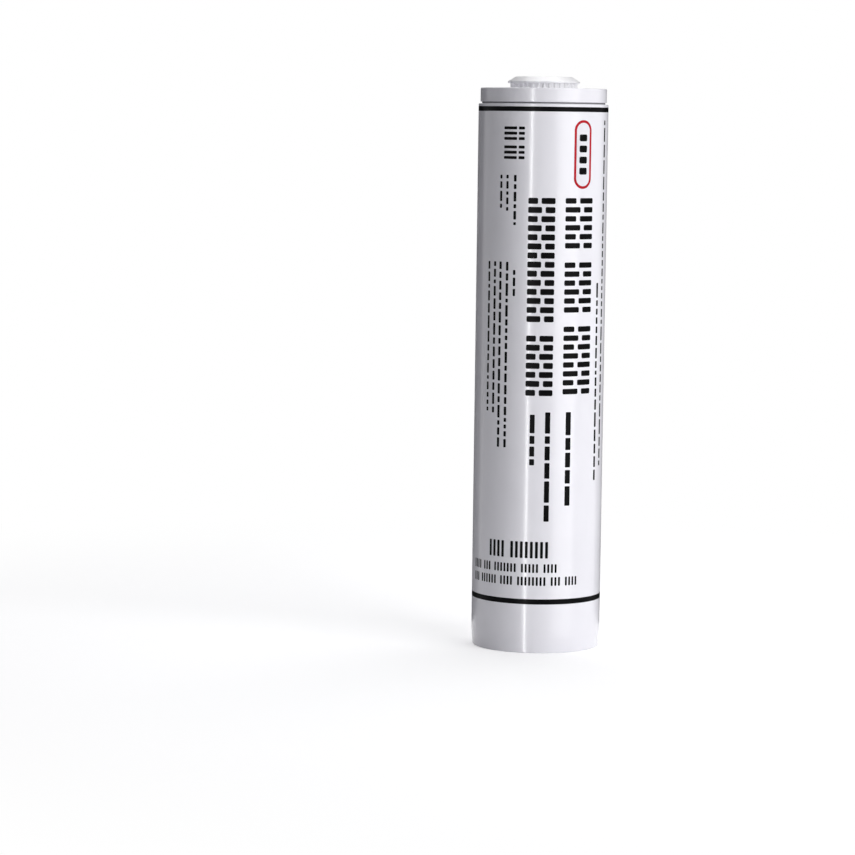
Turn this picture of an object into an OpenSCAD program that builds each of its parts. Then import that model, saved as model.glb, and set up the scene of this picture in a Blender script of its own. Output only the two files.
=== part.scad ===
// Dispensing cartridge for a one-part paste adhesive.
// It stands upright on its rear rim: Z runs along the barrel's axis and the rim lies at zero.
// A plunger closes the rear, the paste fills the bore, and a screw cap seals the outlet neck.
// All lengths are in millimetres.

/* [Barrel] */
// Outside diameter of the barrel
barrel_d = 50; // [44:0.5:60]
// Length from the rear rim to the top of the collar
barrel_len = 216; // [160:1:240]
// Thickness of the barrel's wall
wall = 1.6; // [1.4:0.1:2]
// Height of the rear end that draws in
rear_taper_h = 6; // [4:0.5:8]
// How far the rear end draws in
rear_taper = 0.4; // [0.2:0.1:0.5]
// Depth of the widened mouth behind the plunger
mouth_depth = 6; // [5:0.5:10]
// How much wider the mouth is than the bore, on the radius
mouth_relief = 0.2; // [0.1:0.05:0.3]
// Height of the lead-in cone from the mouth to the bore
lead_in_h = 1.5; // [1:0.1:3]

/* [Head] */
// Height of the collar above its seam groove
collar_h = 5.3; // [4:0.1:7]
// How far the collar steps in from the barrel
collar_step = 0.7; // [0.4:0.1:1.2]
// Height of the seam groove under the collar
seam_h = 0.7; // [0.5:0.1:1]
// Depth of the seam groove behind the face of the collar
seam_depth = 0.6; // [0.3:0.1:0.8]
// Thickness of the collar's wall
collar_wall = 2; // [1.6:0.1:2.6]
// Depth of the recess inside the collar
recess_depth = 8; // [7:0.5:10]
// Thickness of the head plate
head_t = 2.2; // [1.8:0.1:3]
// How far the head plate rises towards the neck
head_rise = 2.5; // [1.5:0.1:3]
// Radius of the fillets where the head plate meets the collar and the neck
head_fillet = 0.9; // [0.5:0.1:0.9]

/* [Neck] */
// Diameter of the neck at the root of its thread
neck_d = 19; // [16:0.5:20]
// Diameter of the outlet through the neck
outlet_d = 12; // [8:0.5:13]
// Height of the neck's rim above the collar
neck_rise = 2.7; // [2:0.1:4]
// Radial room for the thread between the neck and the cap
thread_room = 1.4; // [1:0.1:1.8]

/* [Screw cap] */
// Thickness of the cap's skirt
cap_wall = 1.5; // [1.2:0.1:2]
// Thickness of the cap's top over the sealing disc
cap_roof = 1; // [0.8:0.1:1.6]
// How far the cap's flange stands out past the skirt
flange_over = 1.4; // [1:0.1:2]
// Height of the flange
flange_h = 2.5; // [2:0.1:3]
// Width of the bevel around the cap's top
bevel_w = 2.9; // [2:0.1:3.5]
// Height of that bevel
bevel_h = 1.8; // [1:0.1:1.9]
// Number of grip ribs around the skirt
grip_count = 36; // [24:1:40]
// Radius of one grip rib
grip_r = 0.5; // [0.3:0.05:0.6]
// Gap between the skirt's foot and the head plate
cap_foot_gap = 0.5; // [0.4:0.1:1]
// Thickness of the sealing disc
liner_t = 0.6; // [0.4:0.1:1]

/* [Plunger] */
// Height of the plunger from its rear edge to the shoulder of its crown
plunger_h = 12; // [11:0.5:16]
// How far the plunger sits past the lead-in cone
plunger_set = 0.5; // [0.3:0.1:2]
// Height of each wiper lip
lip_h = 2.2; // [1.6:0.1:2.6]
// How far the waist between the lips draws in
waist_in = 1.1; // [0.8:0.1:1.5]
// Thickness of the plunger's skirt
plunger_wall = 1.5; // [1.2:0.1:2]
// Thickness of the plunger's crown
crown_t = 2; // [1.5:0.1:2.5]
// Number of ribs behind the crown
rib_count = 6; // [4:1:10]
// Thickness of one rib
rib_t = 1.4; // [1:0.1:2]
// Height of the ribs at the skirt
rib_h = 4; // [3:0.5:5]
// Radius of the hub where the ribs meet
hub_r = 4.5; // [3.5:0.1:5.5]
// How far the hub stands out past the ribs
hub_out = 0.4; // [0.2:0.1:1]

/* [Fits] */
// Radial play of the wiper lips in the bore
lip_play = 0.06; // [0.02:0.01:0.1]
// Radial play of the sealing disc inside the cap
liner_play = 0.2; // [0.1:0.05:0.3]
// Gap left between seats that press together
seat_gap = 0.05; // [0.02:0.01:0.1]
// Gap left around the paste
paste_gap = 0.1; // [0.05:0.01:0.2]
// Radius that breaks the moulded edges
edge_r = 0.4; // [0.2:0.05:0.5]

/* [Hidden] */
$fn = 128;
rib_fn = 24;

// How far a cut runs past the surface it opens
overrun = 0.5;

barrel_r = barrel_d / 2;
bore_r = barrel_r - wall;
mouth_r = bore_r + mouth_relief;
collar_r = barrel_r - collar_step;
seam_r = collar_r - seam_depth;
recess_r = collar_r - collar_wall;
neck_r = neck_d / 2;
outlet_r = outlet_d / 2;

// Heights up the axis: the collar's foot and the shoulder under its seam, the recess floor and the bore's
// ceiling at their outer edges, the same two where they meet the neck and the outlet, and the neck's rim
collar_z = barrel_len - collar_h;
shoulder_z = collar_z - seam_h;
floor_z = barrel_len - recess_depth;
ceiling_z = floor_z - head_t;
neck_foot_z = floor_z + head_rise;
outlet_z = ceiling_z + head_rise;
neck_top_z = barrel_len + neck_rise;
// The angle at which the head plate rises
head_slope = atan(head_rise / (recess_r - neck_r));

cap_bore_r = neck_r + thread_room;
skirt_r = cap_bore_r + cap_wall;
flange_r = skirt_r + flange_over;
cap_foot_z = neck_foot_z + cap_foot_gap;
liner_z = neck_top_z + seat_gap;
cap_roof_z = liner_z + liner_t + seat_gap;
cap_top_z = cap_roof_z + cap_roof;
flange_z = cap_top_z - flange_h;

lip_r = bore_r - lip_play;
waist_r = bore_r - waist_in;
cup_r = waist_r - plunger_wall;
// The lips slope off over the same height as they stand out
lip_slope = waist_in - lip_play;
plunger_z = mouth_depth + lead_in_h + plunger_set;
crown_z = plunger_z + plunger_h;
nose_z = crown_z + head_rise;
rib_z = crown_z - crown_t - rib_h;

paste_r = bore_r - paste_gap;
paste_neck_r = outlet_r - paste_gap;

// Takes a sharp corner off a profile and leaves a quarter round.
// turn is the way the corner faces: 0 up and out, 90 up and in, 180 down and in, 270 down and out.
module round_corner(at, turn, r = edge_r)
    translate(at)
        rotate(turn)
            translate([-r, -r])
                difference() {
                    square(r + overrun);
                    circle(r, $fn = rib_fn);
                }

// The outside of the barrel, filled to the axis: drawn-in rear end, straight wall, seam groove and collar
module barrel_outside() {
    polygon([
        [0, 0],
        [barrel_r - rear_taper - edge_r, 0],
        [barrel_r - rear_taper, edge_r],
        [barrel_r, rear_taper_h],
        [barrel_r, shoulder_z],
        [seam_r, shoulder_z],
        [seam_r, collar_z],
        [collar_r, collar_z],
        [collar_r, barrel_len],
        [0, barrel_len],
    ]);
}

// The hollow of the barrel: widened mouth, lead-in cone, bore and conical ceiling
module barrel_inside() {
    polygon([
        [0, -overrun],
        [mouth_r, -overrun],
        [mouth_r, mouth_depth],
        [bore_r, mouth_depth + lead_in_h],
        [bore_r, ceiling_z],
        [outlet_r, outlet_z],
        [0, outlet_z],
    ]);
}

// The recess inside the collar, with a floor that rises to the neck
module recess() {
    polygon([
        [neck_r, neck_foot_z],
        [recess_r, floor_z],
        [recess_r, barrel_len + overrun],
        [neck_r, barrel_len + overrun],
    ]);
}

// Fillet between a wall of the recess and its sloping floor.
// corner is where the two meet, and way points from the wall into the recess: 1 outwards, -1 inwards.
module floor_fillet(corner, way) {
    r = head_fillet;
    centre = corner + [way * r, r / cos(head_slope) - way * r * tan(head_slope)];
    foot = centre - r * [sin(head_slope), cos(head_slope)];
    difference() {
        polygon([corner, [corner.x, centre.y], centre, foot]);
        translate(centre)
            circle(r, $fn = rib_fn);
    }
}

// Barrel, collar, head plate and neck, moulded as one piece
module barrel() {
    color([0.93, 0.93, 0.95])
        rotate_extrude()
            difference() {
                union() {
                    barrel_outside();
                    translate([0, outlet_z])
                        square([neck_r, neck_top_z - outlet_z]);
                }
                barrel_inside();
                difference() {
                    recess();
                    floor_fillet([recess_r, floor_z], -1);
                    floor_fillet([neck_r, neck_foot_z], 1);
                }
                translate([0, outlet_z - overrun])
                    square([outlet_r, neck_top_z - outlet_z + 2 * overrun]);
                round_corner([barrel_r, shoulder_z], 0);
                round_corner([collar_r, barrel_len], 0);
                round_corner([recess_r, barrel_len], 90);
                round_corner([neck_r, neck_top_z], 0);
                round_corner([outlet_r, neck_top_z], 90);
            }
}

// The cap's outside: plain skirt under a flange with a wide bevel
module cap_outside() {
    polygon([
        [0, cap_foot_z],
        [skirt_r, cap_foot_z],
        [skirt_r, flange_z],
        [flange_r, flange_z],
        [flange_r, cap_top_z - bevel_h],
        [flange_r - bevel_w, cap_top_z],
        [0, cap_top_z],
    ]);
}

// Vertical ribs that give the fingers a hold on the cap's skirt
module grip_ribs() {
    for (i = [0 : grip_count - 1])
        rotate(i * 360 / grip_count)
            translate([skirt_r, 0, cap_foot_z + edge_r])
                cylinder(r = grip_r, h = flange_z - cap_foot_z - edge_r + overrun, $fn = rib_fn);
}

// Screw cap over the neck
module screw_cap() {
    color([0.9, 0.9, 0.92])
        difference() {
            union() {
                rotate_extrude()
                    difference() {
                        cap_outside();
                        round_corner([skirt_r, cap_foot_z], 270);
                        round_corner([flange_r, flange_z], 270);
                    }
                grip_ribs();
            }
            translate([0, 0, cap_foot_z - overrun])
                cylinder(r = cap_bore_r, h = cap_roof_z - cap_foot_z + overrun);
        }
}

// Soft disc that the cap presses on the neck's rim
module cap_liner() {
    color([0.82, 0.84, 0.86])
        translate([0, 0, liner_z])
            cylinder(r = cap_bore_r - liner_play, h = liner_t);
}

// The plunger's outside: two wiper lips, a waist between them, and a crown that fits the head plate
module plunger_outside() {
    polygon([
        [0, plunger_z],
        [lip_r - edge_r, plunger_z],
        [lip_r, plunger_z + edge_r],
        [lip_r, plunger_z + lip_h],
        [waist_r, plunger_z + lip_h + lip_slope],
        [waist_r, crown_z - lip_h - lip_slope],
        [lip_r, crown_z - lip_h],
        [lip_r, crown_z - edge_r],
        [lip_r - edge_r, crown_z],
        [outlet_r, nose_z],
        [0, nose_z],
    ]);
}

// The cup behind the crown
module plunger_cup() {
    polygon([
        [0, plunger_z - overrun],
        [cup_r, plunger_z - overrun],
        [cup_r, crown_z - crown_t],
        [outlet_r, nose_z - crown_t],
        [0, nose_z - crown_t],
    ]);
}

// Ribs and hub that back the crown, where a gun's push disc bears
module plunger_ribs() {
    height = nose_z - rib_z;
    for (i = [0 : rib_count - 1])
        rotate(i * 360 / rib_count)
            translate([0, -rib_t / 2, rib_z])
                cube([waist_r, rib_t, height]);
    translate([0, 0, rib_z - hub_out])
        cylinder(r = hub_r, h = height + hub_out);
}

// Plunger that closes the rear of the barrel and pushes the paste out
module plunger() {
    color([0.86, 0.87, 0.88])
        difference() {
            rotate_extrude()
                plunger_outside();
            difference() {
                rotate_extrude()
                    plunger_cup();
                plunger_ribs();
            }
        }
}

// Paste between the plunger's crown and the cap's sealing disc
module adhesive_fill() {
    color([0.88, 0.88, 0.86])
        rotate_extrude()
            polygon([
                [0, nose_z + paste_gap],
                [outlet_r, nose_z + paste_gap],
                [paste_r, crown_z + paste_gap],
                [paste_r, ceiling_z - paste_gap],
                [paste_neck_r, outlet_z - paste_gap],
                [paste_neck_r, neck_top_z - paste_gap],
                [0, neck_top_z - paste_gap],
            ]);
}

barrel();
screw_cap();
cap_liner();
plunger();
adhesive_fill();
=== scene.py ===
# %% [markdown]
# A dispensing cartridge for paste adhesive. It is a straight white barrel with a screw cap sunk in its
# head and a plunger in its open rear end, and its outside carries two black rings and some print.
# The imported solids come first. They fix every size, so each piece below is worked out from them.

# %% Load the frame
import math
import random

import bmesh
import bpy
from mathutils import Euler, Matrix, Vector


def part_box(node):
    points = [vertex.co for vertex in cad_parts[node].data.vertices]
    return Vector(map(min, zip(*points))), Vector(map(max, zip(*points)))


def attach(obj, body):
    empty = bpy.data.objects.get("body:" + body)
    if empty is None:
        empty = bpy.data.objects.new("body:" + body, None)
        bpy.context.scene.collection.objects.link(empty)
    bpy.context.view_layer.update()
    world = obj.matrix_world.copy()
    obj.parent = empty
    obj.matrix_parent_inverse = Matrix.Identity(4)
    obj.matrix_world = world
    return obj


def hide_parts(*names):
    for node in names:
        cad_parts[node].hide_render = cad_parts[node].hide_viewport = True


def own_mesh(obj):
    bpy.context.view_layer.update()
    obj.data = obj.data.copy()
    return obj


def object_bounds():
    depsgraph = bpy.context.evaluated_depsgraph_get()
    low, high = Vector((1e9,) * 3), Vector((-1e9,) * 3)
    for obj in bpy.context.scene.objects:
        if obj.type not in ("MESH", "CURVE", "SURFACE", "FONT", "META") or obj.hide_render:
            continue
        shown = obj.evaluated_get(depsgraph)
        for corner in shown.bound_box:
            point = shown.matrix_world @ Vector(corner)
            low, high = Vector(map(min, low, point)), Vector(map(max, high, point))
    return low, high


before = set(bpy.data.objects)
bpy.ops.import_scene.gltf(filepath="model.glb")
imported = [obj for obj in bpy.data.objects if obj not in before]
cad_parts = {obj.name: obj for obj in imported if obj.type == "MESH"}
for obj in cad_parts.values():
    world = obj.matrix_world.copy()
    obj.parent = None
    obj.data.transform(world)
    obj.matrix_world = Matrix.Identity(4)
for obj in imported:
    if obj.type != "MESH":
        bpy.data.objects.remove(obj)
cad_box = [list(corner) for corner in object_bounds()]
mm = 0.001
print("solids loaded:", sorted(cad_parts))
print("box of the solids in mm:", [[round(x / mm, 2) for x in corner] for corner in cad_box])

# %% [markdown]
# The camera stands in front of the cartridge, a little below its top, and looks slightly down. The
# cartridge is right of the middle of the picture, so the camera turns a little to the left of it. A long
# lens keeps the two sides nearly parallel. The camera could be aimed by eye. Fitting the outlines of the
# two rings and the two sides is surer on a plain round body, so the place and the angles come from that.

# %% Camera
camera_distance = 1.2425
camera_height = 0.2025
camera_tilt = math.radians(5.44)
camera_turn = math.radians(1.99)
camera_roll = math.radians(0.73)
camera_lens = 135
sensor_width = 36

camera_data = bpy.data.cameras.new("studio_camera")
camera_data.lens = camera_lens
camera_data.sensor_width = sensor_width
camera = bpy.data.objects.new("studio_camera", camera_data)
bpy.context.scene.collection.objects.link(camera)
aim = Euler((math.pi / 2 - camera_tilt, 0, camera_turn)).to_matrix()
aim = aim @ Matrix.Rotation(camera_roll, 3, "Z")
camera.matrix_world = Matrix.Translation((0, -camera_distance, camera_height)) @ aim.to_4x4()
bpy.context.scene.camera = camera
bpy.context.scene.view_settings.view_transform = "Standard"
print("camera at", [round(x, 3) for x in camera.location], "with a lens of", camera_lens, "mm")

# %% [markdown]
# Colours are easiest to judge as the 0 to 255 values that a paint program shows. Shaders work with linear
# light, so one helper converts them.

# %% Colour helper
def paint(red, green, blue):
    """Linear colour, with alpha, from 0 to 255 screen values, by the standard screen curve."""
    def linear(value):
        share = value / 255
        if share <= 0.04045:
            return share / 12.92
        return ((share + 0.055) / 1.055) ** 2.4
    return (linear(red), linear(green), linear(blue), 1.0)


print("screen grey 128 is", round(paint(128, 128, 128)[0], 3), "in linear light")

# %% [markdown]
# Materials are nodes that are wired to each other. Sums and colour mixes come up again and again, so two
# helpers make such a node, wire it and hand back its output.

# %% Node helpers
def calculate(tree, operation, *inputs):
    """The output of a math node. Each input is a plain number or the output of another node."""
    node = tree.nodes.new("ShaderNodeMath")
    node.operation = operation
    for socket, value in zip(node.inputs, inputs):
        if isinstance(value, (int, float)):
            socket.default_value = value
        else:
            tree.links.new(value, socket)
    return node.outputs[0]


def mix_colours(tree, factor, first, second):
    """A colour that goes from first to second as the factor goes from 0 to 1."""
    node = tree.nodes.new("ShaderNodeMix")
    node.data_type = "RGBA"
    node.inputs["A"].default_value = first
    node.inputs["B"].default_value = second
    tree.links.new(factor, node.inputs["Factor"])
    return node.outputs["Result"]


print("node helpers:", calculate.__name__, mix_colours.__name__)

# %% [markdown]
# The backdrop is a white sweep. It could be a lit curve of paper, but a world that is white to the camera
# and in reflections is even from every side. As a light it is dimmer, because a white barrel under a full
# white world would have no shading left. Light Path tells those rays apart.

# %% World
sky_tint = paint(250, 250, 255)
sky_level = 0.14


def rays_that_see_white(tree):
    """One for camera, glossy and transmission rays, and zero for the rays that light a surface."""
    path = tree.nodes.new("ShaderNodeLightPath")
    direct = calculate(tree, "MAXIMUM", path.outputs["Is Camera Ray"], path.outputs["Is Glossy Ray"])
    return calculate(tree, "MAXIMUM", direct, path.outputs["Is Transmission Ray"])


world = bpy.data.worlds.new("white_sweep")
bpy.context.scene.world = world
world.use_nodes = True
tree = world.node_tree
tree.nodes.clear()
seen = tree.nodes.new("ShaderNodeBackground")
seen.inputs["Color"].default_value = (1, 1, 1, 1)
seen.inputs["Strength"].default_value = 1.0
fill = tree.nodes.new("ShaderNodeBackground")
fill.inputs["Color"].default_value = sky_tint
fill.inputs["Strength"].default_value = sky_level
choose = tree.nodes.new("ShaderNodeMixShader")
tree.links.new(rays_that_see_white(tree), choose.inputs["Fac"])
tree.links.new(fill.outputs[0], choose.inputs[1])
tree.links.new(seen.outputs[0], choose.inputs[2])
out = tree.nodes.new("ShaderNodeOutputWorld")
tree.links.new(choose.outputs[0], out.inputs["Surface"])
print("world: white to the camera, a level of", sky_level, "as light")

# %% [markdown]
# The floor is a large flat sheet at the height of the rear rim. It belongs to the stage, not to the
# cartridge.

# %% Floor
floor_half = 4.0


def flat_sheet(name, corners):
    """A four-sided sheet for the stage."""
    mesh = bpy.data.meshes.new(name)
    mesh.from_pydata(corners, [], [(0, 1, 2, 3)])
    sheet = bpy.data.objects.new(name, mesh)
    bpy.context.scene.collection.objects.link(sheet)
    return sheet


floor_z = cad_box[0][2]
floor_corners = [(-1, -1), (1, -1), (1, 1), (-1, 1)]
floor = flat_sheet("floor", [(x * floor_half, y * floor_half, floor_z) for x, y in floor_corners])
print("floor at z =", floor_z, "and", 2 * floor_half, "m wide")

# %% [markdown]
# The floor's card is pale. Plain white would do for the shadow, but the far edge would show against the
# backdrop. So the card is a real surface close to the cartridge, where the shadow falls, with a little glow
# that lifts it to white. Further out it fades to plain white.

# %% Pale card
floor_white = paint(245, 245, 246)
floor_glow = 0.36
shadow_reach = 0.16
white_reach = 0.42

pale_card = bpy.data.materials.new("floor_card")
pale_card.use_nodes = True
tree = pale_card.node_tree
tree.nodes.clear()
matte = tree.nodes.new("ShaderNodeBsdfDiffuse")
matte.inputs["Color"].default_value = floor_white
glow = tree.nodes.new("ShaderNodeEmission")
white = tree.nodes.new("ShaderNodeEmission")
lift = calculate(tree, "MULTIPLY", rays_that_see_white(tree), floor_glow)
tree.links.new(lift, glow.inputs["Strength"])
near = tree.nodes.new("ShaderNodeAddShader")
tree.links.new(matte.outputs[0], near.inputs[0])
tree.links.new(glow.outputs[0], near.inputs[1])
place = tree.nodes.new("ShaderNodeTexCoord")
reach = tree.nodes.new("ShaderNodeVectorMath")
reach.operation = "LENGTH"
tree.links.new(place.outputs["Object"], reach.inputs[0])
fade = tree.nodes.new("ShaderNodeMapRange")
fade.interpolation_type = "SMOOTHSTEP"
fade.inputs["From Min"].default_value = shadow_reach
fade.inputs["From Max"].default_value = white_reach
tree.links.new(reach.outputs["Value"], fade.inputs["Value"])
far = calculate(tree, "MULTIPLY", fade.outputs["Result"], rays_that_see_white(tree))
blend = tree.nodes.new("ShaderNodeMixShader")
tree.links.new(far, blend.inputs["Fac"])
tree.links.new(near.outputs[0], blend.inputs[1])
tree.links.new(white.outputs[0], blend.inputs[2])
out = tree.nodes.new("ShaderNodeOutputMaterial")
tree.links.new(blend.outputs[0], out.inputs["Surface"])
floor.data.materials.append(pale_card)
print("floor fades to white from", shadow_reach, "to", white_reach, "m")

# %% [markdown]
# The grey side of the barrel gets deeper towards the top. Its light comes up from the floor, so the floor
# is grey a little way to the left, as if a cloth lay there: the foot of the barrel only sees the pale
# floor before it, and the top sees more of the grey. A plane of its own would cut the shadow at its edge.
# So the grey is in the floor's material, for soft light only, and the floor looks the same as before.

# %% Grey cloth
cloth_start = 0.14
cloth_grey = paint(185, 185, 188)

tree = pale_card.node_tree
across = tree.nodes.new("ShaderNodeSeparateXYZ")
tree.links.new(place.outputs["Object"], across.inputs[0])
on_left = calculate(tree, "LESS_THAN", across.outputs["X"], -cloth_start)
soft_light = tree.nodes.new("ShaderNodeLightPath")
on_cloth = calculate(tree, "MULTIPLY", on_left, soft_light.outputs["Is Diffuse Ray"])
tree.links.new(mix_colours(tree, on_cloth, floor_white, cloth_grey), matte.inputs["Color"])
print("grey cloth from", cloth_start, "m to the left, for soft light only")

# %% [markdown]
# A tall soft box on the right is the key light: it makes the right half nearly white and leaves the left
# third grey. A second one hangs over the cartridge, a little behind it, and brightens the cap and the rim
# without touching the front. A third one stands behind, a little to the left, and lights the back alone. A
# thin upright strip left of the camera draws the bright line that runs down a glossy barrel. The strip only
# shows in reflections, so it doesn't wash out the grey side.

# %% Lamps
def soft_box(name, azimuth, elevation, distance, width, height, level):
    """A rectangular lamp aimed at the middle of the barrel. level is its own brightness."""
    middle = Vector((0, 0, (cad_box[0][2] + cad_box[1][2]) / 2))
    side = math.radians(azimuth)
    up = math.radians(elevation)
    away = Vector((math.sin(side) * math.cos(up), -math.cos(side) * math.cos(up), math.sin(up)))
    data = bpy.data.lights.new(name, "AREA")
    data.shape = "RECTANGLE"
    data.size = width
    data.size_y = height
    data.energy = level * math.pi * width * height
    lamp = bpy.data.objects.new(name, data)
    lamp.location = middle + away * distance
    lamp.rotation_euler = away.to_track_quat("Z", "Y").to_euler()
    lamp.visible_camera = False
    bpy.context.scene.collection.objects.link(lamp)
    return lamp


key = soft_box("key_soft_box", azimuth=47, elevation=15, distance=1.3, width=1.0, height=1.4, level=3.05)
top = soft_box("top_soft_box", azimuth=170, elevation=72, distance=1.0, width=0.8, height=0.8, level=3.0)
back = soft_box("back_soft_box", azimuth=202, elevation=12, distance=1.2, width=0.3, height=1.0, level=7.0)
back.visible_glossy = False
strip = soft_box("strip", azimuth=-19.4, elevation=4, distance=1.05, width=0.03, height=1.4, level=48)
strip.visible_diffuse = False
print("lamps:", [lamp.name for lamp in (key, top, back, strip)])

# %% [markdown]
# The lamps reach below the edge of the table that the floor stands for, so that their reflections run down
# to the foot of the barrel. For that the floor must not stand in their light: a collection that excludes it
# says so. The same collection keeps the light from behind off the floor, where it would throw a second
# shadow towards the camera.

# %% Light past the floor
past_floor = bpy.data.collections.new("all_but_the_floor")
past_floor.objects.link(floor)
past_floor.collection_objects[0].light_linking.link_state = "EXCLUDE"
for lamp in (key, strip):
    lamp.light_linking.blocker_collection = past_floor
back.light_linking.receiver_collection = past_floor
print("not shaded by the floor:", [lamp.name for lamp in (key, strip)])

# %% [markdown]
# A black card stands behind the cartridge, where only reflections see it. A glossy round body mirrors
# what is behind it along its very edge, so the card draws the thin dark outline that sets a white barrel
# off from a white backdrop. A painted line would stay in one place as the view turns.

# %% Black card
card_half = 0.10
card_distance = 0.05
card_height = 0.30

card_corners = [(-1, 0), (1, 0), (1, 1), (-1, 1)]
black_card = flat_sheet(
    "black_card", [(x * card_half, card_distance, z * card_height) for x, z in card_corners],
)
black_card.visible_camera = False
black_card.visible_diffuse = False
black_card.visible_shadow = False
velvet = bpy.data.materials.new("black_velvet")
velvet.use_nodes = True
velvet_shader = velvet.node_tree.nodes["Principled BSDF"]
velvet_shader.inputs["Base Color"].default_value = (0, 0, 0, 1)
velvet_shader.inputs["Specular IOR Level"].default_value = 0
black_card.data.materials.append(velvet)
print("black card", 2 * card_half, "m wide, seen in reflections only")

# %% [markdown]
# Moulded plastic is never one flat value. Three small effects are shared by the materials, so each is a
# node group: it is built once, needs no picture and holds up close to the eye. The first is a soft mottle,
# which tints the colour and varies the gloss.

# %% Shared effect: mottle
def start_group(name, inputs, outputs):
    """An empty shader node group with named float or vector sockets."""
    group = bpy.data.node_groups.new(name, "ShaderNodeTree")
    for label, kind, value in inputs:
        socket = group.interface.new_socket(label, in_out="INPUT", socket_type="NodeSocket" + kind)
        if value is not None:
            socket.default_value = value
    for label, kind in outputs:
        group.interface.new_socket(label, in_out="OUTPUT", socket_type="NodeSocket" + kind)
    return group, group.nodes.new("NodeGroupInput"), group.nodes.new("NodeGroupOutput")


mottle, entry, leave = start_group(
    "soft_mottle",
    [("Vector", "Vector", None), ("Scale", "Float", 60.0), ("Detail", "Float", 3.0)],
    [("Value", "Float")],
)
cloud = mottle.nodes.new("ShaderNodeTexNoise")
spread = mottle.nodes.new("ShaderNodeMapRange")
spread.inputs["From Min"].default_value = 0.3
spread.inputs["From Max"].default_value = 0.7
mottle.links.new(entry.outputs["Vector"], cloud.inputs["Vector"])
mottle.links.new(entry.outputs["Scale"], cloud.inputs["Scale"])
mottle.links.new(entry.outputs["Detail"], cloud.inputs["Detail"])
mottle.links.new(cloud.outputs["Fac"], spread.inputs["Value"])
mottle.links.new(spread.outputs["Result"], leave.inputs["Value"])
print("group made:", mottle.name)

# %% [markdown]
# The second effect is the set of faint lines along the axis that a long core leaves as it is drawn out of
# a moulded barrel. Noise whose height counts for little is stretched along the axis and gives them. Where
# the height counts in full, the same noise is the even grain of a short moulding or a paste.

# %% Shared effect: draw lines
drawn_out = 0.02
even_grain = 1.0

draw_lines, entry, leave = start_group(
    "draw_lines",
    [("Vector", "Vector", None), ("Scale", "Float", 900.0), ("Stretch", "Float", drawn_out)],
    [("Height", "Float")],
)
shape = draw_lines.nodes.new("ShaderNodeCombineXYZ")
shape.inputs["X"].default_value = 1
shape.inputs["Y"].default_value = 1
squeeze = draw_lines.nodes.new("ShaderNodeVectorMath")
squeeze.operation = "MULTIPLY"
lines = draw_lines.nodes.new("ShaderNodeTexNoise")
lines.inputs["Detail"].default_value = 2
draw_lines.links.new(entry.outputs["Stretch"], shape.inputs["Z"])
draw_lines.links.new(entry.outputs["Vector"], squeeze.inputs[0])
draw_lines.links.new(shape.outputs["Vector"], squeeze.inputs[1])
draw_lines.links.new(squeeze.outputs["Vector"], lines.inputs["Vector"])
draw_lines.links.new(entry.outputs["Scale"], lines.inputs["Scale"])
draw_lines.links.new(lines.outputs["Fac"], leave.inputs["Height"])
print("group made:", draw_lines.name)

# %% [markdown]
# The third is handling: a few fine rubs where the pack has touched others in its box. A thin slice of a
# stretched noise gives broken hairlines, which only change the gloss.

# %% Shared effect: rubs
slice_at = 0.5

rubs, entry, leave = start_group(
    "handling_rubs",
    [("Vector", "Vector", None), ("Scale", "Float", 40.0), ("Width", "Float", 0.012)],
    [("Mask", "Float")],
)
lean = rubs.nodes.new("ShaderNodeMapping")
lean.inputs["Rotation"].default_value = (0.5, 0.3, 0.4)
lean.inputs["Scale"].default_value = (1.0, 1.0, 0.12)
wander = rubs.nodes.new("ShaderNodeTexNoise")
wander.inputs["Detail"].default_value = 4
line = rubs.nodes.new("ShaderNodeMapRange")
line.inputs["To Min"].default_value = 1
line.inputs["To Max"].default_value = 0
rubs.links.new(entry.outputs["Vector"], lean.inputs["Vector"])
rubs.links.new(lean.outputs["Vector"], wander.inputs["Vector"])
rubs.links.new(entry.outputs["Scale"], wander.inputs["Scale"])
off_slice = calculate(rubs, "SUBTRACT", wander.outputs["Fac"], slice_at)
rubs.links.new(calculate(rubs, "ABSOLUTE", off_slice), line.inputs["Value"])
rubs.links.new(entry.outputs["Width"], line.inputs["From Max"])
rubs.links.new(line.outputs["Result"], leave.inputs["Mask"])
print("group made:", rubs.name)

# %% [markdown]
# Each finish could be wired by itself, but they only differ in their values. So one function lays out a
# material from these effects: two close colours mixed by the mottle, a gloss that varies between two values
# and dulls under the rubs, and a slight relief.

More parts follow.
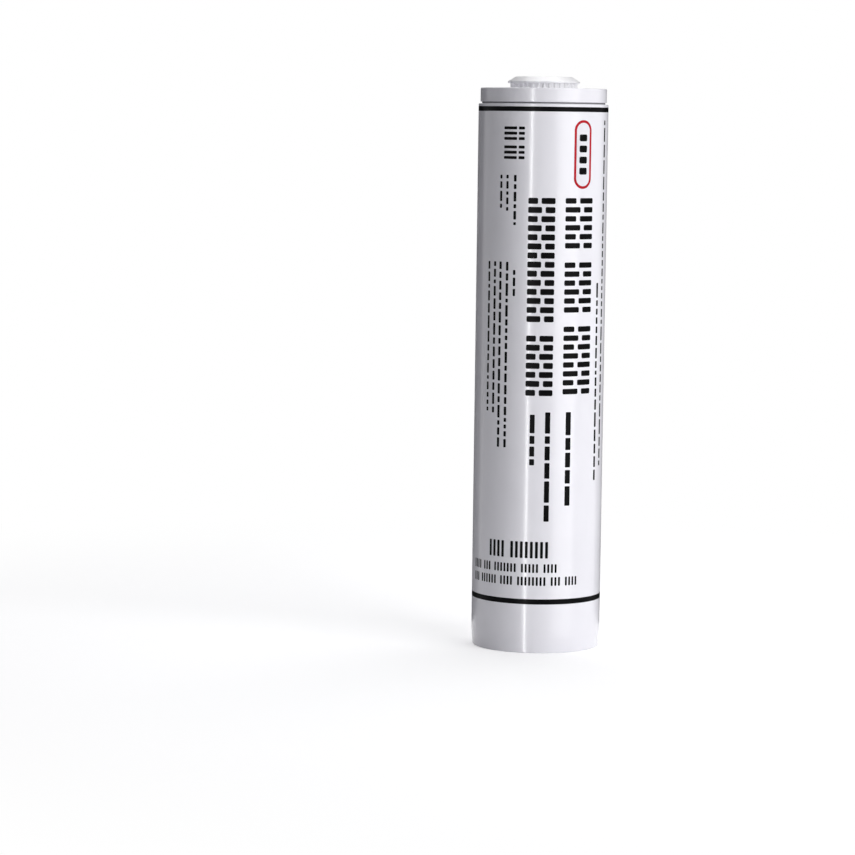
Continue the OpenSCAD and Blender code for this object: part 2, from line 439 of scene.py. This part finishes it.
# %% Material builder
def finish(name, light, dark, gloss, grain, relief, stretch=even_grain):
    """A material whose colour, gloss and relief vary over the surface.
    gloss is (lowest, highest) roughness, grain the mottle's scale, relief the bump's depth in metres and
    stretch the share of the height that counts in the draw lines."""
    material = bpy.data.materials.new(name)
    material.use_nodes = True
    tree = material.node_tree
    shader = tree.nodes["Principled BSDF"]
    place = tree.nodes.new("ShaderNodeTexCoord")

    def effect(group, **values):
        node = tree.nodes.new("ShaderNodeGroup")
        node.node_tree = group
        tree.links.new(place.outputs["Object"], node.inputs["Vector"])
        for label, value in values.items():
            node.inputs[label].default_value = value
        return node.outputs[0]

    cloud = effect(mottle, Scale=grain)
    relief_lines = effect(draw_lines, Stretch=stretch)
    rub = effect(rubs)

    tree.links.new(mix_colours(tree, cloud, dark, light), shader.inputs["Base Color"])

    rough = tree.nodes.new("ShaderNodeMapRange")
    rough.inputs["To Min"].default_value = gloss[0]
    rough.inputs["To Max"].default_value = gloss[1]
    tree.links.new(calculate(tree, "MAXIMUM", cloud, rub), rough.inputs["Value"])
    tree.links.new(rough.outputs["Result"], shader.inputs["Roughness"])

    bump = tree.nodes.new("ShaderNodeBump")
    bump.inputs["Strength"].default_value = 1.0
    bump.inputs["Distance"].default_value = relief
    tree.links.new(calculate(tree, "ADD", cloud, relief_lines), bump.inputs["Height"])
    tree.links.new(bump.outputs["Normal"], shader.inputs["Normal"])
    return material


def sockets(material, **values):
    """Sets plain values on a material's shader. An underscore stands for a space in the socket's name."""
    shader = material.node_tree.nodes["Principled BSDF"]
    for label, value in values.items():
        shader.inputs[label.replace("_", " ")].default_value = value


print("a finish takes its effects from", [group.name for group in (mottle, draw_lines, rubs)])

# %% [markdown]
# Barrel and cap are white plastic, moulded apart. The barrel is glossy under a thin varnish, with draw
# lines along it. The cap is duller and thin enough to let light in, so it scatters some under its surface.

# %% White plastics
white_plastic = finish(
    "barrel_white", paint(243, 242, 248), paint(239, 238, 244),
    gloss=(0.18, 0.24), grain=45, relief=0.003 * mm, stretch=drawn_out,
)
sockets(white_plastic, Specular_IOR_Level=0.35, Coat_Weight=0.2, Coat_Roughness=0.12)
cap_white = finish(
    "cap_white", paint(250, 250, 252), paint(246, 246, 249),
    gloss=(0.28, 0.38), grain=120, relief=0.006 * mm,
)
sockets(cap_white, Subsurface_Weight=0.5, Subsurface_Radius=(1, 1, 1), Subsurface_Scale=3 * mm)
print("finishes:", white_plastic.name, cap_white.name)

# %% [markdown]
# The barrel, cap and paste are round, so each is a lathe: an outline of radius and height that is turned
# about the axis. Real moulded edges are never sharp, and a bevel modifier could round them all alike. Here
# each corner of the outline carries a rounding of its own, which catches a thin highlight.

# %% Rounded outlines
arc_steps = 6


def round_corners(corners):
    """A closed outline from (radius, height, rounding) corners, with an arc at each rounded one."""
    outline = []
    for i, (radius, height, rounding) in enumerate(corners):
        here = Vector((radius, height))
        if rounding == 0:
            outline.append(here)
            continue
        to_last = (Vector(corners[i - 1][:2]) - here).normalized()
        to_next = (Vector(corners[(i + 1) % len(corners)][:2]) - here).normalized()
        half = to_last.angle(to_next) / 2
        centre = here + (to_last + to_next).normalized() * (rounding / math.sin(half))
        first = here + to_last * (rounding / math.tan(half)) - centre
        last = here + to_next * (rounding / math.tan(half)) - centre
        start = math.atan2(first.y, first.x)
        sweep = (math.atan2(last.y, last.x) - start + math.pi) % (2 * math.pi) - math.pi
        for k in range(arc_steps + 1):
            turn = start + sweep * k / arc_steps
            outline.append(centre + rounding * Vector((math.cos(turn), math.sin(turn))))
    return outline


print("each rounded corner becomes", arc_steps + 1, "points")

# %% [markdown]
# Turning the outline gives rings of points, and faces join each ring to the next. The Screw modifier could
# do that too, but points that are placed one by one can also swell where the cap has its ribs. Smooth
# shading would bend a long straight run next to a rounding, so a point close to each of its ends holds it.

# %% Lathe
hold_distance = 0.25 * mm
weld_distance = 0.0001 * mm


def hold_edges(outline):
    """Adds a point close to both ends of each long run, so that a rounding doesn't bend its shading."""
    held = []
    for here, there in zip(outline, outline[1:] + outline[:1]):
        held.append(here)
        length = (there - here).length
        if length > 4 * hold_distance:
            share = hold_distance / length
            held += [here.lerp(there, share), there.lerp(here, share)]
    return held


def lathe(outline, segments, swell=None):
    """A closed turned body. swell(radius, height, turn) may add to the radius."""
    bm = bmesh.new()
    outline = hold_edges(outline)
    rings = []
    for j in range(segments):
        turn = 2 * math.pi * j / segments
        ring = []
        for radius, height in outline:
            reach = radius
            if swell:
                reach += swell(radius, height, turn)
            ring.append(bm.verts.new((reach * math.cos(turn), reach * math.sin(turn), height)))
        rings.append(ring)
    count = len(outline)
    for j in range(segments):
        here = rings[j]
        there = rings[(j + 1) % segments]
        for i in range(count):
            k = (i + 1) % count
            bm.faces.new((here[i], there[i], there[k], here[k]))
    bmesh.ops.remove_doubles(bm, verts=bm.verts, dist=weld_distance)
    return bm


print("points on the axis are welded within", weld_distance / mm, "mm")

# %% [markdown]
# Each piece is closed off in the same way. Its faces turn outwards, its gentle edges are shaded smooth and
# its sharp ones stay, and it is tied to the body that carries it and given its material.

# %% Adding a piece
sharp_angle = math.radians(32)


def add_piece(name, bm, material, body):
    """Turns a bmesh into a smooth-shaded object that rides on a body."""
    bmesh.ops.recalc_face_normals(bm, faces=bm.faces)
    mesh = bpy.data.meshes.new(name)
    bm.to_mesh(mesh)
    bm.free()
    mesh.polygons.foreach_set("use_smooth", [True] * len(mesh.polygons))
    mesh.set_sharp_from_angle(angle=sharp_angle)
    mesh.materials.append(material)
    piece = bpy.data.objects.new(name, mesh)
    bpy.context.scene.collection.objects.link(piece)
    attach(piece, body)
    print("piece", name, "has", len(mesh.polygons), "faces")
    return piece


print("edges of more than", round(math.degrees(sharp_angle)), "degrees stay sharp")

# %% [markdown]
# The barrel is one moulding: the tube, the collar that steps in at its top with a seam groove under it, the
# sunk head plate and the outlet neck. The box of its solid gives the radius and the two ends. Walls, steps
# and fillets have sizes of their own, and every place in between is worked out from them.

# %% Sizes of the barrel
barrel_low, barrel_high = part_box("barrel")
barrel_r = barrel_high.x
neck_top = barrel_high.z
wall = 1.6 * mm
mouth_relief = 0.2 * mm
mouth_depth = 6 * mm
lead_in = 1.5 * mm
rear_taper = 0.4 * mm
rear_taper_h = 6 * mm
neck_rise = 2.7 * mm
collar_step = 0.7 * mm
collar_h = 5.3 * mm
collar_wall = 2 * mm
seam_h = 0.7 * mm
seam_depth = 0.6 * mm
recess_depth = 8 * mm
head_rise = 2.5 * mm
head_t = 2.2 * mm
neck_r = 9.5 * mm
outlet_r = 6 * mm
edge = 0.4 * mm
fillet = 0.9 * mm

bore_r = barrel_r - wall
mouth_r = bore_r + mouth_relief
collar_top = neck_top - neck_rise
collar_r = barrel_r - collar_step
collar_foot = collar_top - collar_h
shoulder = collar_foot - seam_h
seam_r = collar_r - seam_depth
recess_r = collar_r - collar_wall
recess_floor = collar_top - recess_depth
neck_foot = recess_floor + head_rise
ceiling = recess_floor - head_t
outlet_foot = ceiling + head_rise
print("bore", round(2 * bore_r / mm, 1), "mm wide, shoulder at", round(shoulder / mm, 1), "mm")

# %% [markdown]
# The barrel's solid could stay in view, but most of its edges are sharp. The turned outline follows it
# corner by corner and rounds them. The rear end draws in over a soft bend.

# %% Barrel
soft_bend = 20 * mm
barrel_segments = 256

barrel_outline = round_corners([
    (mouth_r, barrel_low.z, edge / 2),
    (barrel_r - rear_taper, barrel_low.z, edge),
    (barrel_r, barrel_low.z + rear_taper_h, soft_bend),
    (barrel_r, shoulder, edge),
    (seam_r, shoulder, edge / 4),
    (seam_r, collar_foot, edge / 4),
    (collar_r, collar_foot, edge / 2),
    (collar_r, collar_top, edge),
    (recess_r, collar_top, edge),
    (recess_r, recess_floor, fillet),
    (neck_r, neck_foot, fillet),
    (neck_r, neck_top, edge),
    (outlet_r, neck_top, edge),
    (outlet_r, outlet_foot, edge),
    (bore_r, ceiling, edge),
    (bore_r, mouth_depth + lead_in, 0),
    (mouth_r, mouth_depth, 0),
])
barrel_body = lathe(barrel_outline, barrel_segments)
barrel = add_piece("barrel_shell", barrel_body, white_plastic, "barrel")
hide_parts("barrel")

# %% [markdown]
# The screw cap has a ribbed skirt under a bevelled flange. The ribs are a row of half rounds. They could be
# thin rods that are joined to the skirt. The lathe swells the radius by a small circle for each rib
# instead, which leaves one clean skin. The shallow dimple in the middle of the top is where the plastic
# entered the mould.

# %% Screw cap
cap_low, cap_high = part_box("screw_cap")
flange_r = cap_high.x
flange_reach = 1.4 * mm
flange_drop = 2.5 * mm
skirt_wall = 1.5 * mm
bevel_h = 1.8 * mm
bevel_w = 2.9 * mm
cap_roof = 1.0 * mm
gate_r = 2 * mm
gate_depth = 0.15 * mm
rib_count = 36
rib_r = 0.5 * mm
steps_per_rib = 12

skirt_r = flange_r - flange_reach
cap_bore_r = skirt_r - skirt_wall
flange_z = cap_high.z - flange_drop
rib_foot = cap_low.z + edge
skirt_band = edge / 10


def rib_swell(radius, height, turn):
    """The half-round grip ribs on the outside of the skirt."""
    if abs(radius - skirt_r) > skirt_band or height < rib_foot:
        return 0
    step = 2 * math.pi / rib_count
    off = (turn + step / 2) % step - step / 2
    across = abs(off) * skirt_r
    if across >= rib_r:
        return 0
    return math.sqrt(rib_r ** 2 - across ** 2)


cap_outline = round_corners([
    (0, cap_high.z - gate_depth, 0),
    (gate_r, cap_high.z - gate_depth, gate_depth / 2),
    (gate_r + gate_depth, cap_high.z, gate_depth / 2),
    (flange_r - bevel_w, cap_high.z, edge),
    (flange_r, cap_high.z - bevel_h, edge / 2),
    (flange_r, flange_z, edge / 2),
    (skirt_r, flange_z, 0),
    (skirt_r, rib_foot + edge / 2, 0),
    (skirt_r, cap_low.z, edge / 2),
    (cap_bore_r, cap_low.z, edge / 2),
    (cap_bore_r, cap_high.z - cap_roof, edge / 2),
    (0, cap_high.z - cap_roof, 0),
])
cap_body = lathe(cap_outline, steps_per_rib * rib_count, rib_swell)
cap = add_piece("cap_shell", cap_body, cap_white, "cap")
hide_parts("screw_cap")

# %% [markdown]
# A right-hand thread joins cap and neck. It could be a bump in the material, but the neck lies open once
# the cap is up. So each ridge is a blunt tooth swept along a helix, which fades in and out over part of a
# turn. The cap's ridge runs half a pitch above the neck's, so the two pass each other as the cap is turned.

# %% Thread
thread_pitch = 3 * mm
tooth_root = 0.8 * mm
tooth_crest = 0.35 * mm
tooth_bury = 0.15 * mm
thread_depth = 1.0 * mm
thread_rise = 1.4 * mm
neck_turns = 1.8
cap_turns = 1.3
steps_per_turn = 96
fade_turn = 0.15


def ridge(root_r, crest_r, start_z, turns):
    """A closed helical ridge from root_r to crest_r, which may point in or out."""
    bm = bmesh.new()
    way = math.copysign(1, crest_r - root_r)
    rows = []
    count = int(turns * steps_per_turn)
    for k in range(count + 1):
        turn = k / steps_per_turn
        fade = min(1, turn / fade_turn, (turns - turn) / fade_turn)
        crest = root_r + (crest_r - root_r) * max(fade, 0)
        z = start_z + thread_pitch * turn
        row = []
        for radius, height in [
            (root_r - way * tooth_bury, z - tooth_root),
            (crest, z - tooth_crest),
            (crest, z + tooth_crest),
            (root_r - way * tooth_bury, z + tooth_root),
        ]:
            angle = 2 * math.pi * turn
            row.append(bm.verts.new((radius * math.cos(angle), radius * math.sin(angle), height)))
        rows.append(row)
    for here, there in zip(rows, rows[1:]):
        for i in range(len(here)):
            j = (i + 1) % len(here)
            bm.faces.new((here[i], here[j], there[j], there[i]))
    bm.faces.new(rows[0])
    bm.faces.new(rows[-1])
    return bm


thread_start = neck_foot + thread_rise
neck_ridge = ridge(neck_r, neck_r + thread_depth, thread_start, neck_turns)
add_piece("neck_thread", neck_ridge, white_plastic, "barrel")
cap_ridge = ridge(cap_bore_r, cap_bore_r - thread_depth, thread_start + thread_pitch / 2, cap_turns)
add_piece("cap_thread", cap_ridge, cap_white, "cap")

# %% [markdown]
# Ink is a skin a few hundredths of a millimetre thick. The barrel's material could paint it, but marks of
# their own stay crisp close to the eye. Each mark is a closed patch that is bent round the barrel: stations
# along the arc carry a low and a high point, outside and just under the surface, and the first and last
# stations draw the rounded corners. Ink that is printed over other ink lies a layer higher.

# %% Ink patches
ink_layer = 0.015 * mm
ink_sink = 0.03 * mm
ink_step = 1.0 * mm
corner_step = 0.2 * mm
least_corner_steps = 4
largest_corner_share = 0.49


def station_points(bm, arc, low, high, layer=1, radius=barrel_r):
    """Four corners of the ink's section at a place along the arc, which starts in front."""
    turn = arc / barrel_r
    side = Vector((math.sin(turn), -math.cos(turn), 0))
    lift = Vector((0, 0, 1))
    outer = side * (radius + layer * ink_layer)
    inner = side * (radius - ink_sink)
    section = [(outer, low), (outer, high), (inner, high), (inner, low)]
    return [bm.verts.new(point + lift * z) for point, z in section]


def join_stations(bm, stations, closed=False):
    """Skins a row of stations, with end faces unless the row closes on itself."""
    following = stations[1:]
    if closed:
        following = following + stations[:1]
    for here, there in zip(stations, following):
        for i in range(len(here)):
            j = (i + 1) % len(here)
            bm.faces.new((here[i], there[i], there[j], here[j]))
    if not closed:
        bm.faces.new(stations[0])
        bm.faces.new(stations[-1])


def ink_patch(bm, arc, low, width, height, corner, layer=1):
    """A rounded rectangle of ink from arc, width along the arc and height along the axis."""
    corner = min(corner, largest_corner_share * width, largest_corner_share * height)
    corner_steps = max(least_corner_steps, math.ceil(corner / corner_step))
    quarter = [math.pi / 2 * k / corner_steps for k in range(corner_steps + 1)]
    rounds = [corner * (1 - math.cos(turn)) for turn in quarter]
    insets = [corner * (1 - math.sin(turn)) for turn in quarter]
    flat = width - 2 * corner
    flats = max(1, math.ceil(flat / ink_step))
    places = list(zip(rounds, insets))
    places += [(corner + flat * k / flats, 0) for k in range(1, flats)]
    places += [(width - r, inset) for r, inset in zip(reversed(rounds), reversed(insets))]
    stations = [station_points(bm, arc + at, low + cut, low + height - cut, layer) for at, cut in places]
    join_stations(bm, stations)


def ink_ring(bm, low, height, radius=barrel_r):
    """A band all the way round."""
    step = 2 * math.pi * barrel_r / barrel_segments
    high = low + height
    stations = [station_points(bm, step * k, low, high, radius=radius) for k in range(barrel_segments)]
    join_stations(bm, stations, closed=True)


def along(degrees):
    """Distance round the barrel from the front, to the right."""
    return math.radians(degrees) * barrel_r


print("one layer of ink stands", round(ink_layer / mm, 3), "mm proud of the barrel")

# %% [markdown]
# Printing ink is matt beside the varnished plastic, so it stays dark where a lamp is mirrored. Three inks
# are enough: black for nearly all of the print, and a red and a white one for a frame.

# %% Inks
def ink(name, light, dark):
    """A printing ink with hardly any mirror shine."""
    material = finish(
        name, light, dark,
        gloss=(0.30, 0.42), grain=300, relief=0.002 * mm, stretch=drawn_out,
    )
    sockets(material, Specular_IOR_Level=0.04)
    return material


def add_print(name, bm, material):
    """Adds marks to the barrel, which carries them."""
    add_piece(name, bm, material, "barrel")


black_ink = ink("ink_black", paint(8, 8, 9), paint(4, 4, 5))
red_ink = ink("ink_red", paint(190, 34, 46), paint(174, 28, 40))
white_ink = ink("ink_white", paint(240, 239, 245), paint(234, 233, 239))
print("inks:", [material.name for material in (black_ink, red_ink, white_ink)])

# %% [markdown]
# Two black rings run round the barrel, one under the shoulder and one near the rear end. A band that closes
# on itself has no seam at the back.

# %% Rings
upper_ring_drop = 2.0 * mm
upper_ring_h = 1.8 * mm
lower_ring_rise = 20 * mm
lower_ring_h = 2.0 * mm

bm = bmesh.new()
ink_ring(bm, shoulder - upper_ring_drop - upper_ring_h / 2, upper_ring_h)
add_print("ring_upper", bm, black_ink)
bm = bmesh.new()
ink_ring(bm, barrel_low.z + lower_ring_rise - lower_ring_h / 2, lower_ring_h)
add_print("ring_lower", bm, black_ink)

# %% [markdown]
# The narrow seam under the collar is drawn as a darker line by painted shade. The barrel's material could
# darken at that height. One more thin grey band, on the bottom of the groove, is simpler to place.

# %% Seam painted shade
shade_margin = 0.1 * mm

# The grey of this band is painted shade for the groove under the collar.
seam_painted_shade = finish(
    "seam_painted_shade", paint(128, 127, 130), paint(104, 103, 106),
    gloss=(0.7, 0.9), grain=400, relief=0.01 * mm,
)
bm = bmesh.new()
ink_ring(bm, shoulder + shade_margin, seam_h - 2 * shade_margin, seam_r)
add_print("seam_painted_shade", bm, seam_painted_shade)

# %% [markdown]
# The large print runs down the barrel in two columns. Each is a field of bold blocks, laid like the bricks
# of a wall: every row has a long and a short block, and they change sides from row to row. A wider gap
# parts the groups. The rows repeat, so a function lays out a column from its width and its pitch.

# %% Large blocks
block_top = 174.5 * mm
block_corner = 0.5 * mm
short_share = 0.36
gap_share = 0.13
group_gap = 4.0 * mm


def block_column(bm, left, width, row, pitch, groups):
    """Rows of two blocks down a column. groups holds the number of rows in each group."""
    long_share = 1 - short_share - gap_share
    z = block_top
    for count in groups:
        for k in range(count):
            first = (short_share, long_share)[k % 2]
            second = 1 - gap_share - first
            ink_patch(bm, left, z - row, width * first, row, block_corner)
            ink_patch(bm, left + width * (first + gap_share), z - row, width * second, row, block_corner)
            z -= pitch
        z -= group_gap
    return z + pitch - row + group_gap


bm = bmesh.new()
front_end = block_column(
    bm, left=along(-12), width=10.4 * mm, row=2.3 * mm, pitch=3.45 * mm, groups=(14, 7),
)
add_print("blocks_front", bm, black_ink)
bm = bmesh.new()
side_end = block_column(
    bm, left=along(21), width=12.8 * mm, row=2.1 * mm, pitch=3.4 * mm, groups=(6, 6, 8),
)
add_print("blocks_side", bm, black_ink)
print("block columns end at", round(front_end / mm, 1), "and", round(side_end / mm, 1), "mm")

# %% [markdown]
# The small print is lines of fine dashes, some short and some long. Each could be set by hand. Random draws
# give the uneven beat of small print, and they are seeded, so each run of the script gives the same dashes.

# %% Small dashes
dash_draw = random.Random(7)
dash_gap = 1.0 * mm
shortest_dash = 1.2
longest_dash = 4.5
fine_corner = 0.3 * mm


def dash_line(bm, middle, top, bottom, width):
    """Dashes down one line from top to bottom. middle is the line's place in degrees."""
    left = along(middle) - width / 2
    z = top
    while z - bottom > width:
        length = min(dash_draw.uniform(shortest_dash, longest_dash) * width, z - bottom)
        ink_patch(bm, left, z - length, width, length, fine_corner)
        z -= length + dash_gap


small_lines = [
    # middle in degrees, top, bottom and width of the dashes in mm
    (-24.3, 183, 164, 1.1),
    (-31.9, 183, 169, 1.0),
    (-38.5, 183, 170, 1.0),
    (-24.0, 147, 137, 1.0),
    (-31.0, 150, 79, 1.1),
    (-38.0, 150, 79, 1.1),
    (-44.5, 150, 92, 1.1),
    (-52.0, 150, 92, 1.1),
    (-5.5, 92, 72.6, 1.9),
    (8.0, 93, 51, 2.0),
    (27.0, 93, 57, 2.2),
    (60.0, 142, 66, 1.3),
    (70.0, 204, 70, 1.3),
]
bm = bmesh.new()
for middle, top_z, bottom_z, width in small_lines:
    dash_line(bm, middle, top_z * mm, bottom_z * mm, width * mm)
add_print("dashes", bm, black_ink)

# %% [markdown]
# A red frame with round ends sits at the top on the right, around a few black blocks. The frame could be an
# outline of its own. A white patch over a larger red one gives the same line with two plain patches, so the
# mark is three layers of ink.

# %% Red frame
frame_left = along(28.5)
frame_low = 178 * mm
frame_width = 8.2 * mm
frame_height = 26 * mm
frame_line = 1.0 * mm
inner_block_count = 4
inner_block_h = 2.6 * mm
inner_block_pitch = 4.2 * mm
inner_block_margin = 1.3 * mm
inner_block_corner = 0.6 * mm

bm = bmesh.new()
ink_patch(bm, frame_left, frame_low, frame_width, frame_height, frame_width / 2)
add_print("red_frame", bm, red_ink)

bm = bmesh.new()
inner_left = frame_left + frame_line
inner_low = frame_low + frame_line
inner_width = frame_width - 2 * frame_line
inner_height = frame_height - 2 * frame_line
ink_patch(bm, inner_left, inner_low, inner_width, inner_height, inner_width / 2, layer=2)
add_print("frame_field", bm, white_ink)

bm = bmesh.new()
block_left = inner_left + inner_block_margin
block_width = inner_width - 2 * inner_block_margin
frame_middle = frame_low + frame_height / 2
for k in range(inner_block_count):
    block_middle = frame_middle + (k - (inner_block_count - 1) / 2) * inner_block_pitch
    block_low = block_middle - inner_block_h / 2
    ink_patch(bm, block_left, block_low, block_width, inner_block_h, inner_block_corner, layer=3)
add_print("frame_blocks", bm, black_ink)

# %% [markdown]
# Two small stacks of bars stand at the top on the left. Each row has a wide bar and a short one. The rows
# are alike, so two loops place them.

# %% Small stacks
stack_feet = (189.0 * mm, 196.2 * mm)
bars_in_stack = 3
bar_pitch = 2.0 * mm
bar_h = 1.1 * mm
wide_bar_left = along(-36)
wide_bar_w = 5.6 * mm
short_bar_left = along(-21.5)
short_bar_w = 2.4 * mm

bm = bmesh.new()
for foot in stack_feet:
    for step in range(bars_in_stack):
        low = foot + bar_pitch * step
        ink_patch(bm, wide_bar_left, low, wide_bar_w, bar_h, fine_corner)
        ink_patch(bm, short_bar_left, low, short_bar_w, bar_h, fine_corner)
add_print("small_stacks", bm, black_ink)

# %% [markdown]
# The filling line stamps three rows of ticks round the foot of the barrel, a bold row over two finer ones.
# The ticks of a row are alike and stand in groups, so a function steps round the barrel from tick to tick
# and leaves one out after each group.

# %% Stamped rows
bold_tick = {"height": 6.4 * mm, "width": 1.1 * mm, "pitch": 1.95 * mm}
fine_tick = {"height": 3.4 * mm, "width": 0.8 * mm, "pitch": 1.45 * mm}


def tick_row(bm, first, low, tick, groups):
    """Upright ticks round the barrel from first, in degrees. groups holds the number of ticks in each."""
    at = along(first)
    for count in groups:
        for k in range(count):
            ink_patch(bm, at, low, tick["width"], tick["height"], fine_corner)
            at += tick["pitch"]
        at += tick["pitch"]
    return math.degrees(at / barrel_r)


bm = bmesh.new()
row_ends = [
    tick_row(bm, first=-46, low=36.8 * mm, tick=bold_tick, groups=(4, 8)),
    tick_row(bm, first=-70, low=31.2 * mm, tick=fine_tick, groups=(4, 3, 7, 5, 4)),
    tick_row(bm, first=-70, low=26.2 * mm, tick=fine_tick, groups=(3, 6, 4, 8, 3, 4)),
]
add_print("stamped_ticks", bm, black_ink)
print("rows end at", [round(end) for end in row_ends], "degrees")

# %% [markdown]
# The plunger and the sealing disc under the cap are already right as solids: the wiper lips, the ribs and
# the plain disc need no more shape. They keep their solids and only get a finish, a natural grey plastic
# and an open foam.

# %% Plunger and sealing disc
plunger_plastic = finish(
    "plunger_natural", paint(222, 224, 226), paint(212, 214, 217),
    gloss=(0.38, 0.50), grain=90, relief=0.01 * mm,
)
foam = finish(
    "foam_disc", paint(206, 211, 216), paint(190, 196, 202),
    gloss=(0.75, 0.9), grain=1500, relief=0.06 * mm,
)


def dress(node, material):
    """Gives a solid that stays in view its finish."""
    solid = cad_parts[node]
    solid.data.materials.clear()
    solid.data.materials.append(material)
    print("finish", material.name, "on", node)


dress("plunger", plunger_plastic)
dress("cap_liner", foam)

# %% [markdown]
# The paste fills the barrel from the plunger's crown to the head plate, and the neck above it. A thick
# paste keeps the shape of what holds it, so both parts are turned like the barrel. The plug in the neck
# stays as it is, with a low dome on top.

# %% Paste
paste_gap = 0.1 * mm
paste_segments = 96
dome_rise = 0.8 * mm
dome_edge = 0.6 * mm

paste = finish(
    "paste", paint(226, 226, 221), paint(216, 216, 210),
    gloss=(0.30, 0.45), grain=180, relief=0.05 * mm,
)
crown_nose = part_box("plunger")[1].z
crown_edge = crown_nose - head_rise
plug_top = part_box("adhesive_fill")[1].z
slug_top = outlet_foot - 2 * paste_gap
slug_r = bore_r - paste_gap
plug_r = outlet_r - paste_gap

slug_outline = round_corners([
    (0, crown_nose + paste_gap, 0),
    (outlet_r, crown_nose + paste_gap, 0),
    (slug_r, crown_edge + paste_gap, edge),
    (slug_r, ceiling - paste_gap, edge),
    (plug_r, slug_top, 0),
    (0, slug_top, 0),
])
slug = add_piece("paste_slug", lathe(slug_outline, paste_segments), paste, "barrel")
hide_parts("adhesive_fill")
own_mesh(slug)

plug_outline = round_corners([
    (0, slug_top, 0),
    (plug_r, slug_top, 0),
    (plug_r, plug_top - dome_rise, dome_edge),
    (0, plug_top, 0),
])
plug = add_piece("paste_plug", lathe(plug_outline, paste_segments), paste, "barrel")
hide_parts("adhesive_fill")
